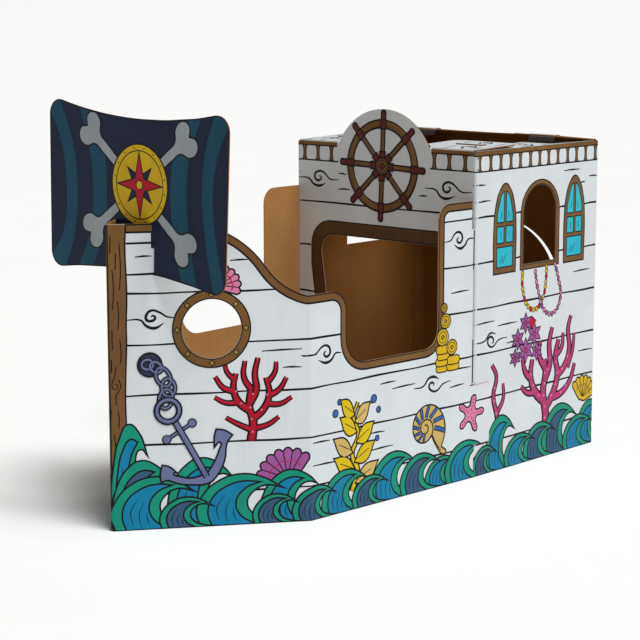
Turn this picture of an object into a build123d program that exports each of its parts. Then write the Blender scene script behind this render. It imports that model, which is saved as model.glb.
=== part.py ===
# Child-size play ship of corrugated board: a folded hull, a four-walled castle and a slotted flag.
# Millimetres, +Z up, bow towards -X, stern towards +X, origin on the floor under the middle of the ship.
import os
from math import atan2, cos, hypot, radians, sin, sqrt, tan

from build123d import *

# Board and the play that its die-cut parts are given
board = 4.0
slack = 0.5
slot_play = 1.0
kerf = 1.0
overrun = 30.0

# Castle
castle_length = 704.0
castle_width = 808.0
castle_height = 1100.0
corner_radius = 12.0
fold_radius = 8.0
seam_width = 45.0

# Doorway in the castle's front wall, narrower at its sill
doorway_top = 772.0
doorway_sill = 120.0
doorway_top_half = 296.0
doorway_sill_half = 200.0
doorway_round = 58.0

# Arched windows in both side walls
window_place = 358.0
window_half = 94.0
window_sill = 697.0
window_spring = 870.0

# Arched door leaf in the stern wall, folded along its starboard edge and left a little ajar
leaf_half = 250.0
leaf_spring = 533.0
leaf_bottom = 45.0
leaf_ajar = 2.6

# Round sign that stands up out of the front flap, and how far its centre lies below the roof
sign_radius = 228.5
sign_drop = 107.5

# Roof flaps: how far they reach in from their folds, and how far two of them spring up
arm_depth = 250.0
arm_gap_half = 118.0
arm_round = 40.0
stern_depth = 105.0
stern_arm_width = 189.0
side_depth = 145.0
side_end_depth = 188.0
ledge_depth = 72.0
front_rise = 2.0
stern_rise = 6.0
flap_end = 15.0

# Tongues of the side flaps, which come up through slots in the front and stern flaps
tongue_low = 80.0
tongue_high = 190.0
tongue_place = 150.0
tongue_lap = 22.0
tongue_slope = 58.0
tongue_root = 22.0
tongue_bend = 3.0

# Hull
mid_run = 760.0
mid_taper = 37.0
bow_run = 494.0
hull_height = 936.0
waist_height = 706.0
bow_fold_radius = 6.0
crease_radius = 20.0

# Sweep of the bow rail, measured along the bow panel
sweep_start = 222.0
sweep_radius = 307.0
sweep_steepness = 57.0
sweep_end = 603.0

# Entry notch, measured along the middle panel from its crease
notch_front = 153.0
notch_back = 578.0
notch_sill = 470.0
lip_radius = 65.0
notch_front_radius = 85.0
notch_back_radius = 62.0
rise_radius = 52.0

# Porthole, measured along the bow panel
porthole_place = 311.7
porthole_height = 613.0
porthole_radius = 90.5

# Rear edge of the hull: two inner tabs and an outer lap, as heights above the floor
upper_edge_back = 20.0
lower_edge_back = 11.0
tab_bend = 24.0
tab_lead = 12.0
tab_reach = 46.0
upper_tab_low = 703.0
upper_tab_high = 843.0
middle_tab_low = 320.0
middle_tab_high = 478.0
lap_low = 114.0
lap_high = 317.0
lap_length = 83.0
lap_tuck = 20.0
lap_tuck_inset = 10.0
lap_radius = 3.0
joggle_radius = 16.0

# Flag, which stands across the bow in slots a little to starboard of its middle
flag_place = 138.0
flag_slot_depth = 74.0
flag_top_half = 395.0
flag_bottom_half = 387.0
flag_corner_rise = 424.0
flag_middle_rise = 379.0
flag_corner_drop = 114.0
flag_middle_drop = 78.0
flag_round = 48.0
flag_shift = 6.0
flag_tilt = 1.9

# Places that follow from the sizes above
ship_length = bow_run + mid_run + castle_length
stern_x = ship_length / 2
front_x = stern_x - castle_length
crease_x = front_x - mid_run
side_y = castle_width / 2
corner_y = side_y - board / 2
crease_y = corner_y - mid_taper
bow_angle = atan2(crease_y, bow_run - board / 2)
bow_x = -stern_x + board / 2 - bow_fold_radius * (1 / sin(bow_angle) - 1)
bow_length = hypot(crease_x - bow_x, crease_y)
mid_angle = atan2(mid_taper, mid_run)
low_top = castle_height - board - slack
wall_top = low_top - fold_radius
sign_centre = castle_height - sign_drop
sign_half = sqrt(sign_radius**2 - sign_drop**2)
stern_arm_half = side_y - stern_arm_width
flap_half = side_y - flap_end
slot_half = (board / 2 * (1 + sin(bow_angle)) + slot_play) / cos(bow_angle)
tab_heights = ((middle_tab_low, middle_tab_high), (upper_tab_low, upper_tab_high))
tongue_slot = (
    3 * slot_play
    + (board * 1.5 + slack) / tan(radians(tongue_slope))
    + board / 2 / sin(radians(tongue_slope))
)
flag_x = bow_x + flag_place * cos(bow_angle)
flag_seat = hull_height - flag_slot_depth
flag_slot_y = flag_place * sin(bow_angle)
flag_slot_half = slot_half + flag_corner_drop * sin(radians(flag_tilt))


# An upright plane along a port-side panel: local x runs aft along it, local y is height
def panel_plane(x, y, angle):
    return Plane(origin=(x, y, 0), x_dir=(cos(angle), sin(angle), 0), z_dir=(sin(angle), -cos(angle), 0))


bow_plane = panel_plane(bow_x, 0, -bow_angle)
mid_plane = panel_plane(crease_x, -crease_y, -mid_angle)
side_plane = panel_plane(front_x, -side_y, 0)
front_plane = Plane(origin=(front_x, 0, 0), x_dir=(0, -1, 0), z_dir=(-1, 0, 0))
stern_plane = Plane(origin=(stern_x, 0, 0), x_dir=(0, 1, 0), z_dir=(1, 0, 0))
leaf_plane = Plane(
    origin=(stern_x - slack * sin(radians(leaf_ajar)), leaf_half, 0),
    x_dir=(-sin(radians(leaf_ajar)), -cos(radians(leaf_ajar)), 0),
    z_dir=(-cos(radians(leaf_ajar)), sin(radians(leaf_ajar)), 0),
)
flag_plane = Plane(
    origin=(flag_x - board / 2, -flag_slot_y, flag_seat),
    x_dir=(0, cos(radians(flag_tilt)), sin(radians(flag_tilt))),
    z_dir=(1, 0, 0),
)


# The section of a board that follows a bent line
def band(*points, radius):
    with BuildSketch() as section:
        with BuildLine():
            FilletPolyline(*points, radius=radius)
        trace(line_width=board)
    return section.sketch


# A closed outline with its own radius at each corner
def rounded(*points, radius):
    with BuildSketch() as outline:
        with BuildLine():
            FilletPolyline(*points, radius=radius, close=True)
        make_face()
    return outline.sketch


# An opening with upright sides and a round head
def arched(half, bottom, spring):
    with BuildSketch() as outline:
        with Locations((0, bottom)):
            Rectangle(2 * half, spring - bottom, align=(Align.CENTER, Align.MIN))
        with Locations((0, spring)):
            Circle(half)
    return outline.sketch


# A point on the middle panel's line, a distance forward of the castle's front
def mid_point(back):
    return (front_x - back, -(corner_y - back * tan(mid_angle)))


# Hull, port half: one sheet with the bow fold at its end and one crease
lead = mid_point(tab_bend + tab_lead)
bend = mid_point(tab_bend)
inner_y = side_y - board - slack - board / 2
outer_y = side_y + slack + board / 2
tuck_x = front_x + lap_length - board / 2
inner_path = (lead, bend, (front_x - board, -inner_y), (front_x + tab_reach, -inner_y))
lap_path = (lead, bend, (front_x - board, -outer_y), (tuck_x - lap_radius, -outer_y))
tuck_path = (
    (tuck_x - 2 * lap_radius, -outer_y),
    (tuck_x, -outer_y),
    (tuck_x, -(side_y - board - lap_tuck)),
)

with BuildPart() as hull:
    with BuildSketch():
        add(band(
            (crease_x, crease_y),
            (bow_x, 0),
            (crease_x, -crease_y),
            bend,
            radius=[bow_fold_radius, crease_radius],
        ))
        with Locations((0, side_y)):
            Rectangle(2 * ship_length, castle_width, mode=Mode.SUBTRACT)
    extrude(amount=hull_height)

    # Swept rail of the bow panel, from its flat top down to the waist
    with BuildSketch(bow_plane):
        with BuildLine():
            crest = CenterArc(
                (sweep_start, hull_height - sweep_radius), sweep_radius, 90, -sweep_steepness
            )
            hollow = TangentArc(crest @ 1, (sweep_end, waist_height), tangent=crest % 1)
            Polyline(
                hollow @ 1,
                (bow_length + overrun, waist_height),
                (bow_length + overrun, hull_height + overrun),
                (sweep_start, hull_height + overrun),
                crest @ 0,
            )
        make_face()
    extrude(amount=overrun, both=True, mode=Mode.SUBTRACT)

    # Entry notch of the middle panel, between the waist and the raised side
    with BuildSketch(mid_plane):
        add(rounded(
            (-overrun, hull_height + overrun),
            (-overrun, waist_height),
            (notch_front, waist_height),
            (notch_front, notch_sill),
            (notch_back, notch_sill),
            (notch_back, hull_height),
            (notch_back + 2 * rise_radius, hull_height),
            (notch_back + 2 * rise_radius, hull_height + overrun),
            radius=[0, 0, lip_radius, notch_front_radius, notch_back_radius, rise_radius, 0, 0],
        ))
    extrude(amount=overrun, both=True, mode=Mode.SUBTRACT)

    # Porthole and flag slot of the bow panel
    with BuildSketch(bow_plane):
        with Locations((porthole_place, porthole_height)):
            Circle(porthole_radius)
        with Locations((flag_place, flag_seat)):
            Rectangle(2 * slot_half, flag_slot_depth + overrun, align=(Align.CENTER, Align.MIN))
    extrude(amount=overrun, both=True, mode=Mode.SUBTRACT)

    # Stepped rear edge, straight where it only meets the corner
    for low, high, back in (
        (0, lap_low, slack),
        (middle_tab_high, upper_tab_low, lower_edge_back),
        (upper_tab_high, hull_height, upper_edge_back),
    ):
        with BuildSketch(Plane.XY.offset(low)):
            add(band(lead, mid_point(back + tab_lead / 2), mid_point(back), radius=0))
        extrude(amount=high - low)

    # Inner tabs, which pass through the castle's corner and lie against its side wall
    for low, high in tab_heights:
        with BuildSketch(Plane.XY.offset(low)):
            add(band(*inner_path, radius=joggle_radius))
        extrude(amount=high - low)

    # Outer lap over the castle's side wall, with its end folded in through a slot
    with BuildSketch(Plane.XY.offset(lap_low)):
        add(band(*lap_path, radius=joggle_radius))
    extrude(amount=lap_high - lap_low)
    with BuildSketch(Plane.XY.offset(lap_low + lap_tuck_inset)):
        add(band(*tuck_path, radius=lap_radius))
    extrude(amount=lap_high - lap_low - 2 * lap_tuck_inset)

    mirror(about=Plane.XZ)

    # To starboard the bent edge also closes up to the castle between its tabs and above them
    shut_path = (*inner_path[:3], (front_x - slack, -inner_y))
    for low, high in ((middle_tab_high, upper_tab_low), (upper_tab_high, hull_height)):
        with BuildSketch(Plane.XY.offset(low)):
            add(band(*[(x, -y) for x, y in shut_path], radius=joggle_radius))
        extrude(amount=high - low)

# Outline of the front flap, in its own plane: two arms, with the sign and the middle cut away
with BuildSketch() as sign_flap:
    with Locations((fold_radius, 0)):
        Rectangle(arm_depth - fold_radius, 2 * flap_half, align=(Align.MIN, Align.CENTER))
    with Locations((-sign_drop, 0)):
        Circle(sign_radius + kerf, mode=Mode.SUBTRACT)
    Rectangle(2 * arm_depth, 2 * arm_gap_half, mode=Mode.SUBTRACT)
    fillet(vertices().group_by(Axis.X)[-1], arm_round)
sign_cut = sign_flap.sketch

# Outline of the stern flap, in its own plane: a hollow inner edge between two arms
with BuildSketch() as stern_flap:
    with BuildLine():
        rim = ThreePointArc((arm_depth, -stern_arm_half), (stern_depth, 0), (arm_depth, stern_arm_half))
        Polyline(
            rim @ 1,
            (arm_depth, flap_half),
            (fold_radius, flap_half),
            (fold_radius, -flap_half),
            (arm_depth, -flap_half),
            rim @ 0,
        )
    make_face()
    fillet(vertices().group_by(Axis.X)[-1], arm_round / 2)
stern_cut = stern_flap.sketch

# Castle: one sheet wrapped into four walls, with its flaps folded in for a roof
with BuildPart() as castle:
    with BuildSketch():
        with Locations((front_x + castle_length / 2, 0)):
            RectangleRounded(castle_length, castle_width, corner_radius)
            offset(amount=-board, mode=Mode.SUBTRACT)
    extrude(amount=wall_top)

    # Corner strips that stand up between the ends of the flaps
    with BuildSketch(Plane.XY.offset(wall_top)):
        with Locations((front_x + castle_length / 2, 0)):
            with GridLocations(castle_length, castle_width, 2, 2):
                Rectangle(2 * (flap_end - slack), 2 * (flap_end - slack))
            RectangleRounded(castle_length, castle_width, corner_radius, mode=Mode.INTERSECT)
            RectangleRounded(
                castle_length - 2 * board,
                castle_width - 2 * board,
                corner_radius - board,
                mode=Mode.SUBTRACT,
            )
    extrude(amount=low_top - wall_top)

    # Doorway
    with BuildSketch(front_plane):
        add(rounded(
            (-doorway_sill_half, doorway_sill),
            (doorway_sill_half, doorway_sill),
            (doorway_top_half, doorway_top),
            (-doorway_top_half, doorway_top),
            radius=doorway_round,
        ))
    extrude(amount=-overrun, mode=Mode.SUBTRACT)

    # Windows, alike in both side walls
    with BuildSketch(side_plane):
        with Locations((window_place, 0)):
            add(arched(window_half, window_sill, window_spring))
    extrude(amount=-castle_width, mode=Mode.SUBTRACT)

    # Cut line of the stern door
    with BuildSketch(stern_plane):
        add(arched(leaf_half, leaf_bottom, leaf_spring))
    extrude(amount=-overrun, mode=Mode.SUBTRACT)

    # Slots that the hull's tabs and laps pass through, on the port side
    for low, high in tab_heights:
        with Locations((front_x - slack, -inner_y, low - slot_play)):
            Box(
                corner_radius + 2 * slack,
                board + 2 * slack,
                high - low + 2 * slot_play,
                align=(Align.MIN, Align.CENTER, Align.MIN),
                mode=Mode.SUBTRACT,
            )
    with BuildSketch(side_plane):
        with Locations((tuck_x - front_x - lap_radius - slot_play, lap_low + lap_tuck_inset - slot_play)):
            Rectangle(
                lap_radius + board / 2 + 2 * slot_play,
                lap_high - lap_low - 2 * lap_tuck_inset + 2 * slot_play,
                align=(Align.MIN, Align.MIN),
            )
    extrude(amount=-overrun, mode=Mode.SUBTRACT)

    # Side flap, in the lower layer of the roof
    with BuildSketch(Plane.YZ.offset(front_x + flap_end)):
        add(band(
            (-corner_y, wall_top - fold_radius),
            (-corner_y, low_top - board / 2),
            (-corner_y + 2 * fold_radius, low_top - board / 2),
            radius=fold_radius - board / 2,
        ))
    extrude(amount=castle_length - 2 * flap_end)
    with BuildSketch(Plane(origin=(front_x, -side_y, low_top))):
        with BuildLine():
            edge = ThreePointArc(
                (tongue_place + tongue_root, side_end_depth),
                (castle_length / 2, side_depth),
                (castle_length - tongue_place - tongue_root, side_end_depth),
            )
            Polyline(
                edge @ 0,
                (tongue_place + tongue_root, ledge_depth),
                (flap_end, ledge_depth),
                (flap_end, fold_radius),
                (castle_length - flap_end, fold_radius),
                (castle_length - flap_end, ledge_depth),
                (castle_length - tongue_place - tongue_root, ledge_depth),
                edge @ 1,
            )
        make_face()
    extrude(amount=-board)

    # Front and stern flaps, each with its fold, its slot and the side flap's tongue through it
    for wall_x, inward, rise, fold_ends, cut in (
        (front_x, 1, front_rise, (sign_half + kerf, flap_half), sign_cut),
        (stern_x, -1, stern_rise, (0, flap_half), stern_cut),
    ):
        slope = tan(radians(rise))
        mid_drop = board / 2 / cos(radians(rise))
        lap_lift = (slack + board / 2) / cos(radians(rise))
        flap_plane = Plane(
            origin=(wall_x, 0, castle_height),
            x_dir=(inward * cos(radians(rise)), 0, sin(radians(rise))),
            z_dir=(-inward * sin(radians(rise)), 0, cos(radians(rise))),
        )
        with BuildSketch(Plane.XZ.offset(fold_ends[0])):
            add(band(
                (wall_x + inward * board / 2, wall_top - fold_radius),
                (wall_x + inward * board / 2, castle_height + slope * board / 2 - mid_drop),
                (wall_x + inward * 2 * fold_radius, castle_height + slope * 2 * fold_radius - mid_drop),
                radius=fold_radius - board / 2,
            ))
        extrude(amount=fold_ends[1] - fold_ends[0])
        with BuildSketch(flap_plane):
            add(cut)
            with Locations((tongue_place - 2 * slot_play, -inward * (side_y - tongue_high - slot_play))):
                Rectangle(
                    tongue_slot,
                    tongue_high - tongue_low + 2 * slot_play,
                    align=(Align.MIN, Align.MAX if inward > 0 else Align.MIN),
                    mode=Mode.SUBTRACT,
                )
        extrude(amount=-board)
        tongue_top = castle_height + slope * tongue_place + lap_lift
        ramp = (tongue_top - low_top + board / 2) / tan(radians(tongue_slope))
        with BuildSketch(Plane.XZ.offset(side_y - tongue_high)):
            add(band(
                (wall_x + inward * (tongue_place + tongue_root + tongue_bend), low_top - board / 2),
                (wall_x + inward * (tongue_place + ramp), low_top - board / 2),
                (wall_x + inward * tongue_place, tongue_top),
                (wall_x + inward * (tongue_place - tongue_lap), tongue_top - slope * tongue_lap),
                radius=tongue_bend,
            ))
        extrude(amount=tongue_high - tongue_low)

    # The same again to starboard, then what is not paired
    split(bisect_by=Plane.XZ, keep=Keep.TOP)
    mirror(about=Plane.XZ)

    # Round sign, which stays upright where the front flap folds away from it
    with BuildSketch(front_plane):
        with Locations((0, sign_centre)):
            Circle(sign_radius)
        with Locations((0, wall_top - fold_radius)):
            Rectangle(2 * sign_half, castle_height, align=(Align.CENTER, Align.MIN), mode=Mode.INTERSECT)
    extrude(amount=-board)

    # Seam flap inside the starboard wall, against the stern
    with BuildSketch():
        with Locations((stern_x - corner_radius, side_y - board)):
            Rectangle(seam_width, board, align=(Align.MAX, Align.MAX))
    extrude(amount=wall_top - fold_radius)

    # Leaf of the stern door, turned inwards about its fold
    with BuildSketch(leaf_plane):
        with Locations((leaf_half, 0)):
            add(arched(leaf_half - kerf, leaf_bottom + kerf, leaf_spring))
        with Locations((-slack, leaf_bottom + kerf)):
            Rectangle(leaf_half, leaf_spring - leaf_bottom - kerf, align=(Align.MIN, Align.MIN))
    extrude(amount=board)

# Flag: a flat sheet that drops over both bow panels, leaning a little in its loose slots
with BuildSketch() as flag_outline:
    with BuildLine():
        top = ThreePointArc(
            (-flag_top_half, flag_corner_rise), (0, flag_middle_rise), (flag_top_half, flag_corner_rise)
        )
        bottom = ThreePointArc(
            (-flag_bottom_half, -flag_corner_drop),
            (0, -flag_middle_drop),
            (flag_bottom_half, -flag_corner_drop),
        )
        Line(top @ 0, bottom @ 0)
        Line(top @ 1, bottom @ 1)
    make_face()
    fillet(vertices(), flag_round)
    with Locations((flag_shift - flag_slot_y, slack / 2), (flag_shift + flag_slot_y, slack / 2)):
        Rectangle(2 * flag_slot_half, flag_seat, align=(Align.CENTER, Align.MAX), mode=Mode.SUBTRACT)

with BuildPart() as flag:
    with BuildSketch(flag_plane):
        with Locations((flag_slot_y - flag_shift, 0)):
            add(flag_outline.sketch)
    extrude(amount=board)

os.makedirs("parts", exist_ok=True)
for name, piece in (("hull", hull), ("castle", castle), ("flag", flag)):
    piece.part.label = name
    export_step(piece.part, f"parts/{name}.step")
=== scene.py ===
# Child-size play ship of folded, printed board. Metres, in the CAD frame: bow -X, port -Y, up +Z.
# Print is drawn in millimetres on unrolled panels (along the board, height), then wrapped onto them.
from math import atan2, ceil, cos, degrees, hypot, pi, radians, sin, sqrt, tan

import bmesh
import bpy
from mathutils import Matrix, Vector


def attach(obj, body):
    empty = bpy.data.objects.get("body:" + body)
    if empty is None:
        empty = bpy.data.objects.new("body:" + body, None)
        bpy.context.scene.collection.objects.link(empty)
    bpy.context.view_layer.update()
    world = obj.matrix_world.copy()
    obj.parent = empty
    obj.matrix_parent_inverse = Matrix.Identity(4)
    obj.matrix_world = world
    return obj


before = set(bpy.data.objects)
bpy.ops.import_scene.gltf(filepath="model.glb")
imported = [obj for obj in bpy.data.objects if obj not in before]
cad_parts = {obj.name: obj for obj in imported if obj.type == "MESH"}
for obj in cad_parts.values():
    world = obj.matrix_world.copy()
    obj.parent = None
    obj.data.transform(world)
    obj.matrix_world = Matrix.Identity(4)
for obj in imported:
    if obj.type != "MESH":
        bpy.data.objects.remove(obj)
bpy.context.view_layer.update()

print("frame loaded:", sorted(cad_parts))

# What the print has to know of the board ship, in millimetres
ship = {
    "length": 1958, "castleLength": 704, "castleWidth": 808, "height": 1100, "board": 4,
    "midRun": 760, "midTaper": 37, "bowRun": 494, "hullHeight": 936, "waist": 706,
    "edgeBack": {"upper": 20, "lower": 11},
    "bowFold": 6, "crease": 20, "corner": 10, "joggle": 16, "fold": 8,
    "frontTop": 1100, "sideTop": 1095.5, "flapEnd": 14.8, "signHalf": 203,
}
sternX = ship["length"] / 2
frontX = sternX - ship["castleLength"]
creaseX = frontX - ship["midRun"]
sideY = ship["castleWidth"] / 2
cornerY = sideY - ship["board"] / 2
creaseY = cornerY - ship["midTaper"]
bowAngle = atan2(creaseY, ship["bowRun"] - ship["board"] / 2)
bowX = -sternX + ship["board"] / 2 - ship["bowFold"] * (1 / sin(bowAngle) - 1)
bowLength = hypot(creaseX - bowX, creaseY)
midAngle = atan2(ship["midTaper"], ship["midRun"])

# Camera at the photograph's place, angle and lens
view = {"place": (-4.6442, -4.2222, 1.5929), "pitch": 80.36, "roll": -0.067, "yaw": -47.44, "lens": 106.49}
cameraData = bpy.data.cameras.new("camera")
cameraData.lens = view["lens"]
cameraData.clip_end = 9000
camera = bpy.data.objects.new("camera", cameraData)
camera.location = view["place"]
camera.rotation_euler = (radians(view["pitch"]), 0, radians(view["yaw"]))
camera.rotation_euler.rotate_axis("Z", radians(view["roll"]))
bpy.context.scene.collection.objects.link(camera)
bpy.context.scene.camera = camera
bpy.context.scene.view_settings.view_transform = "Standard"


# Small helpers for shader nodes
def tone(code):
    parts = [int(code[i:i + 2], 16) / 255 for i in (1, 3, 5)]
    return (*[p / 12.92 if p <= 0.04045 else ((p + 0.055) / 1.055) ** 2.4 for p in parts], 1)


def node(tree, kind, inputs=None, **settings):
    made = tree.nodes.new(kind)
    for key, value in settings.items():
        setattr(made, key, value)
    for socket, value in (inputs or {}).items():
        if isinstance(value, bpy.types.NodeSocket):
            tree.links.new(value, made.inputs[socket])
        else:
            made.inputs[socket].default_value = value
    return made


def maths(tree, operation, *values):
    return node(tree, "ShaderNodeMath", dict(enumerate(values)), operation=operation).outputs[0]


def streaks(tree, scale, detail=3, rough=0.55):
    place = node(tree, "ShaderNodeTexCoord").outputs["Object"]
    turned = node(tree, "ShaderNodeMapping", {"Vector": place, "Scale": scale})
    return node(
        tree, "ShaderNodeTexNoise",
        {"Vector": turned.outputs[0], "Scale": 1, "Detail": detail, "Roughness": rough}
    ).outputs["Fac"]


def blendTones(tree, share, low, high):
    return node(
        tree, "ShaderNodeMix", {0: share, 6: low, 7: high}, data_type="RGBA", clamp_factor=True
    ).outputs[2]


def span(tree, value, fromLow, fromHigh, toLow=0.0, toHigh=1.0):
    return node(
        tree, "ShaderNodeMapRange",
        {"Value": value, "From Min": fromLow, "From Max": fromHigh, "To Min": toLow, "To Max": toHigh},
    ).outputs[0]


# Across the flutes: x on walls that face sideways, y on walls that face the bow or the stern
def acrossFlutes(tree):
    place = node(tree, "ShaderNodeSeparateXYZ", {0: node(tree, "ShaderNodeTexCoord").outputs["Object"]})
    facing = node(tree, "ShaderNodeSeparateXYZ", {0: node(tree, "ShaderNodeNewGeometry").outputs["Normal"]})
    endWall = maths(tree, "GREATER_THAN", maths(tree, "ABSOLUTE", facing.outputs[0]), 0.8)
    return node(
        tree, "ShaderNodeMix", {0: endWall, 2: place.outputs[0], 3: place.outputs[1]}
    ).outputs[0], place, facing


def newFinish(name):
    made = bpy.data.materials.new(name)
    made.use_nodes = True
    return made, made.node_tree, made.node_tree.nodes["Principled BSDF"]


# Finishes
kraftLook = {"flutePitch": 0.0075, "roughness": 0.82}
# Two tone sets of one kraft board: the castle's set, which the flag takes too, is darker as painted shade for
# the castle's shaded inside
kraftTones = {
    "hull": {"light": "#bf8f56", "dark": "#a1713e", "fleck": "#6f4a26", "hollowShade": "#5d3c1e"},
    "castle": {"light": "#96622a", "dark": "#744a1c", "fleck": "#4c3018", "hollowShade": "#3c2612"},
}


# Bare kraft liner inside, and the fluted core along the cut edges, with its hollows darkened as painted shade
def kraftBoard(name, tones):
    look = {**kraftLook, **kraftTones[tones]}
    made, tree, shader = newFinish(name)
    cloud = streaks(tree, (9, 9, 9), 5)
    fibre = streaks(tree, (260, 260, 70), 4, 0.7)
    fleck = streaks(tree, (700, 700, 260), 2)
    across, place, facing = acrossFlutes(tree)
    flute = maths(tree, "SINE", maths(tree, "MULTIPLY", across, 2 * pi / look["flutePitch"]))
    colour = blendTones(
        tree, span(tree, cloud, 0.25, 0.75, 0.3, 0.85), tone(look["dark"]), tone(look["light"]),
    )
    colour = blendTones(tree, span(tree, fibre, 0.35, 0.75, 0, 0.35), colour, tone(look["dark"]))
    colour = blendTones(tree, span(tree, fleck, 0.66, 0.8, 0, 0.5), colour, tone(look["fleck"]))
    colour = blendTones(tree, span(tree, flute, -1, 1, 0, 0.07), colour, tone(look["fleck"]))
    # Painted shade: on level cut edges below the roof, the flute hollows are darkened towards a dark tone
    level = maths(tree, "GREATER_THAN", maths(tree, "ABSOLUTE", facing.outputs[2]), 0.7)
    below = maths(tree, "LESS_THAN", place.outputs[2], (ship["sideTop"] - 14) / 1000)
    edge = maths(tree, "MULTIPLY", level, below)
    hollowShadeMask = maths(tree, "MULTIPLY", span(tree, flute, -0.1, 0.7), edge)
    colour = blendTones(tree, maths(tree, "MULTIPLY", hollowShadeMask, 0.75), colour, tone(look["hollowShade"]))
    height = maths(tree, "ADD", maths(tree, "MULTIPLY", flute, 0.35), maths(tree, "MULTIPLY", fibre, 0.5))
    bump = node(tree, "ShaderNodeBump", {"Height": height, "Strength": 0.12, "Distance": 0.0004})
    tree.links.new(colour, shader.inputs["Base Color"])
    tree.links.new(
        span(tree, fibre, 0.3, 0.8, look["roughness"] - 0.08, look["roughness"] + 0.08),
        shader.inputs["Roughness"],
    )
    tree.links.new(bump.outputs[0], shader.inputs["Normal"])
    shader.inputs["Specular IOR Level"].default_value = 0.25
    return made


inkStrength = 0.93


# Printed liner: a smooth clay-white or inked paper, with the flutes just showing through
def printed(name, colour, shade, mottle=0.5, line=0.35, roughness=0.5):
    made, tree, shader = newFinish(name)
    cloud = streaks(tree, (7, 7, 7), 4)
    ribs = streaks(tree, (130, 130, 4), 2)
    paper = streaks(tree, (900, 900, 900), 2)
    across = acrossFlutes(tree)[0]
    flute = maths(tree, "SINE", maths(tree, "MULTIPLY", across, 2 * pi / kraftLook["flutePitch"]))
    colour, shade = [(*[part * inkStrength for part in tone(code)[:3]], 1) for code in (colour, shade)]
    mixed = blendTones(tree, span(tree, cloud, 0.3, 0.7, 0, mottle), colour, shade)
    mixed = blendTones(tree, span(tree, ribs, 0.52, 0.75, 0, line), mixed, shade)
    mixed = blendTones(tree, span(tree, paper, 0.6, 0.8, 0, 0.25), mixed, shade)
    height = maths(tree, "ADD", maths(tree, "MULTIPLY", flute, 0.4), maths(tree, "MULTIPLY", paper, 0.3))
    bump = node(tree, "ShaderNodeBump", {"Height": height, "Strength": 0.1, "Distance": 0.0003})
    tree.links.new(mixed, shader.inputs["Base Color"])
    tree.links.new(span(tree, paper, 0.3, 0.8, roughness - 0.06, roughness + 0.1), shader.inputs["Roughness"])
    tree.links.new(bump.outputs[0], shader.inputs["Normal"])
    shader.inputs["Specular IOR Level"].default_value = 0.18
    return made


inkLook = {
    "white": ("#d9dee1", "#c8cfd4", 0.5, 0.3),
    "black": ("#0a090b", "#141316", 0.5, 0.3),
    "brown": ("#7d5a32", "#634420", 0.8, 0.7),
    "darkBrown": ("#5f4122", "#4a3016", 0.8, 0.6),
    "maroon": ("#6a2620", "#541a16", 0.6, 0.5),
    "gold": ("#dab514", "#b9930c", 0.5, 0.4),
    "brass": ("#a8923a", "#7e6c26", 0.5, 0.3),
    "navy": ("#14203f", "#0d162d", 0.7, 0.8),
    "teal": ("#0e4b62", "#093c50", 0.7, 0.8),
    "bone": ("#a0a7ac", "#8d9499", 0.7, 0.7),
    "steel": ("#6c749a", "#596188", 0.6, 0.5),
    "deep": ("#2b3250", "#20263e", 0.6, 0.5),
    "waveGreen": ("#089378", "#057d66", 0.6, 0.6),
    "waveBlue": ("#0080a8", "#006c92", 0.6, 0.6),
    "waveSlate": ("#345a78", "#284a66", 0.6, 0.6),
    "pane": ("#27bcd0", "#1a9fb6", 0.6, 0.5),
    "red": ("#c3082c", "#9e0422", 0.6, 0.5),
    "mauve": ("#a45a9c", "#884682", 0.6, 0.5),
    "pink": ("#d882a4", "#c26a8e", 0.6, 0.5),
    "rose": ("#c03a78", "#a02a62", 0.6, 0.5),
    "blue": ("#3a66b0", "#2c5298", 0.6, 0.5),
    "sand": ("#d2b56a", "#b4984e", 0.6, 0.5),
    "yellow": ("#dcc000", "#bda000", 0.6, 0.5),
}
inks = {name: printed(name + "Ink", *look) for name, look in inkLook.items()}
krafts = {tones: kraftBoard(tones + "Kraft", tones) for tones in kraftTones}
# The castle and the flag get the darker kraft set: painted shade
for name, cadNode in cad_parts.items():
    for place in cadNode.material_slots:
        place.material = krafts["hull" if name == "hull" else "castle"]
print("finishes made:", len(inks) + len(krafts))


# Drawing on flat board, in millimetres
inkLine = 5.4
sheetLift = {"liner": 0.3, "first": 0.36, "step": 0.07, "thick": 0.055}


def newArt():
    return {"mesh": bmesh.new(), "inks": []}


def keepShape(art, mesh, ink, level, flatten=False):
    shape = bmesh.new()
    shape.from_mesh(mesh)
    bpy.data.meshes.remove(mesh)
    bmesh.ops.remove_doubles(shape, verts=shape.verts, dist=0.002)
    top = sheetLift["first"] + sheetLift["step"] * level
    for vert in shape.verts:
        vert.co.z = top + (vert.co.z * flatten if flatten else vert.co.z)
    bmesh.ops.recalc_face_normals(shape, faces=shape.faces)
    if ink not in art["inks"]:
        art["inks"].append(ink)
    for face in shape.faces:
        face.material_index = art["inks"].index(ink)
    done = bpy.data.meshes.new("shape")
    shape.to_mesh(done)
    shape.free()
    art["mesh"].from_mesh(done)
    bpy.data.meshes.remove(done)


def curveOf(loops, closed, corners, radii=None):
    data = bpy.data.curves.new("drawn", "CURVE")
    data.resolution_u = 5
    for points in loops:
        spline = data.splines.new("BEZIER")
        spline.bezier_points.add(len(points) - 1)
        for i, (knot, point) in enumerate(zip(spline.bezier_points, points)):
            knot.co = (*point, 0)
            kind = "VECTOR" if corners == "all" or i in corners else "AUTO"
            knot.handle_left_type = knot.handle_right_type = kind
            knot.radius = radii[i] if radii else 1
        spline.use_cyclic_u = closed
    return data


def meshOf(data):
    holder = bpy.data.objects.new("drawn", data)
    mesh = bpy.data.meshes.new_from_object(holder)
    bpy.data.objects.remove(holder)
    bpy.data.curves.remove(data)
    return mesh


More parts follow.
